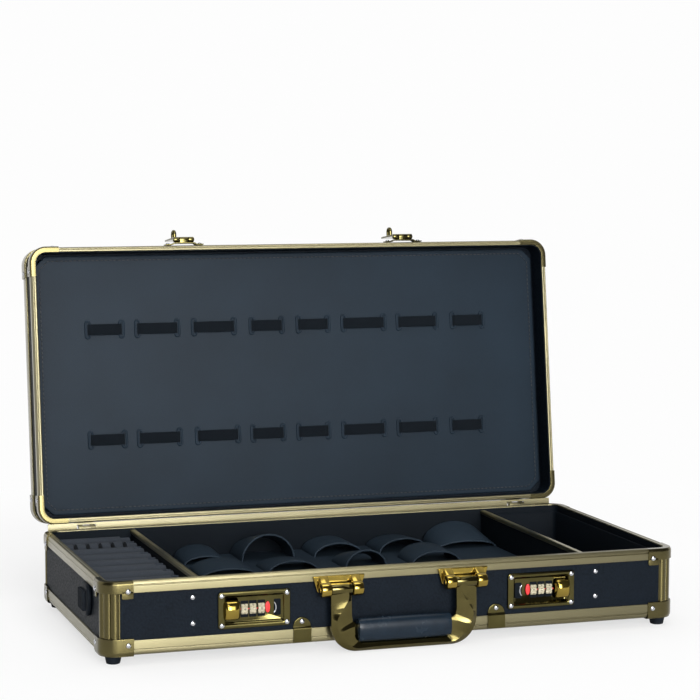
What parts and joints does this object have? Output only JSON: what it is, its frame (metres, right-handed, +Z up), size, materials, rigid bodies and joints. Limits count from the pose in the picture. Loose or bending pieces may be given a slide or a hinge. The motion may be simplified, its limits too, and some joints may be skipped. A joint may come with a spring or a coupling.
{
  "type": "barber_case",
  "caption": "Aluminium-framed barber tool case, open lid with tool board, divided base, combination locks, hasps and carrying handle",
  "frame": {"origin": "middle of the bounding box of the open case, on the plane that the feet stand on", "axes": "+X to the right of a person facing the front, -Y out of the front, +Z up"},
  "size_m": [0.5728, 0.3952, 0.3674],
  "materials": {
    "gold_frame": "brushed champagne-gold anodised",
    "brass": "polished plated",
    "panel": "fine pebbled",
    "leatherette": "fine grain",
    "foam": "open-cell foam",
    "elastic": "woven elastic",
    "black_rubber": "moulded",
    "dial": "moulded ivory",
    "grip": "padded satin"
  },
  "bodies": {
    "base": {"base_front_panel": "panel", "base_rear_panel": "panel", "base_left_panel": "panel", "base_right_panel": "panel", "base_floor_panel": "panel", "base_rim_frame": "gold_frame", "base_bottom_rail": "gold_frame", "foam_block": "foam", "strap_liner": "leatherette", "side_bin": "leatherette", "corner_post_rear_right": "gold_frame", "corner_post_rear_left": "gold_frame", "corner_post_front_left": "gold_frame", "corner_post_front_right": "gold_frame", "bottom_corner_cap_rear_right": "gold_frame", "bottom_corner_cap_rear_left": "gold_frame", "bottom_corner_cap_front_left": "gold_frame", "bottom_corner_cap_front_right": "gold_frame", "foot_rear_right": "black_rubber", "foot_rear_left": "black_rubber", "foot_front_left": "black_rubber", "foot_front_right": "black_rubber", "divider_left": "leatherette", "divider_right": "leatherette", "divider_trim_left": "brass", "divider_trim_right": "brass", "lock_housing_left": "brass", "lock_housing_right": "brass", "handle_bracket_left": "brass", "handle_bracket_right": "brass", "edge_clamp_left": "brass", "edge_clamp_right": "brass", "strap_anchor_left": "black_rubber", "strap_anchor_right": "black_rubber", "hinge_base_leaf_left": "gold_frame", "hinge_base_leaf_right": "gold_frame"},
    "lid": {"lid_wall_frame": "panel", "lid_outer_panel": "panel", "lid_rim_frame": "gold_frame", "lid_edge_rail": "gold_frame", "tool_board": "leatherette", "elastic_row_upper": "elastic", "elastic_row_lower": "elastic", "hasp_base_left": "brass", "hasp_base_right": "brass", "hinge_lid_leaf_left": "gold_frame", "hinge_lid_leaf_right": "gold_frame"},
    "handle": {"handle_bail": "brass", "handle_grip": "grip"},
    "hasp_tongue_left": {"hasp_tongue_left": "brass"},
    "thumb_slide_left": {"thumb_slide_left": "brass"},
    "lock_dial_left_1": {"lock_dial_left_1": "dial"},
    "lock_dial_left_2": {"lock_dial_left_2": "dial"},
    "lock_dial_left_3": {"lock_dial_left_3": "dial"},
    "hasp_tongue_right": {"hasp_tongue_right": "brass"},
    "thumb_slide_right": {"thumb_slide_right": "brass"},
    "lock_dial_right_1": {"lock_dial_right_1": "dial"},
    "lock_dial_right_2": {"lock_dial_right_2": "dial"},
    "lock_dial_right_3": {"lock_dial_right_3": "dial"}
  },
  "joints": [
    {"name": "lid_hinge", "type": "hinge", "parent": "base", "child": "lid", "pos_m": [0, 0.10308, 0.0739], "axis": [1, 0, 0], "range_deg": [0, 97.5]},
    {"name": "handle_pivot", "type": "hinge", "parent": "base", "child": "handle", "pos_m": [0, -0.19012, 0.0584], "axis": [-1, 0, 0], "range_deg": [0, 95]},
    {"name": "hasp_left", "type": "hinge", "parent": "lid", "child": "hasp_tongue_left", "pos_m": [-0.1195, 0.15119, 0.36037], "axis": [1, 0, 0], "range_deg": [0, 180]},
    {"name": "thumb_slide_left", "type": "slide", "parent": "base", "child": "thumb_slide_left", "axis": [-1, 0, 0], "range_m": [0, 0.003], "stiffness_N_per_m": 300},
    {"name": "lock_dial_left_1", "type": "hinge", "parent": "base", "child": "lock_dial_left_1", "pos_m": [-0.14875, -0.17472, 0.0436], "axis": [1, 0, 0], "continuous": true},
    {"name": "lock_dial_left_2", "type": "hinge", "parent": "base", "child": "lock_dial_left_2", "pos_m": [-0.14085, -0.17472, 0.0436], "axis": [1, 0, 0], "continuous": true},
    {"name": "lock_dial_left_3", "type": "hinge", "parent": "base", "child": "lock_dial_left_3", "pos_m": [-0.13295, -0.17472, 0.0436], "axis": [1, 0, 0], "continuous": true},
    {"name": "hasp_right", "type": "hinge", "parent": "lid", "child": "hasp_tongue_right", "pos_m": [0.1195, 0.15119, 0.36037], "axis": [1, 0, 0], "range_deg": [0, 180]},
    {"name": "thumb_slide_right", "type": "slide", "parent": "base", "child": "thumb_slide_right", "axis": [1, 0, 0], "range_m": [0, 0.003], "stiffness_N_per_m": 300},
    {"name": "lock_dial_right_1", "type": "hinge", "parent": "base", "child": "lock_dial_right_1", "pos_m": [0.14875, -0.17472, 0.0436], "axis": [1, 0, 0], "continuous": true},
    {"name": "lock_dial_right_2", "type": "hinge", "parent": "base", "child": "lock_dial_right_2", "pos_m": [0.14085, -0.17472, 0.0436], "axis": [1, 0, 0], "continuous": true},
    {"name": "lock_dial_right_3", "type": "hinge", "parent": "base", "child": "lock_dial_right_3", "pos_m": [0.13295, -0.17472, 0.0436], "axis": [1, 0, 0], "continuous": true}
  ]
}
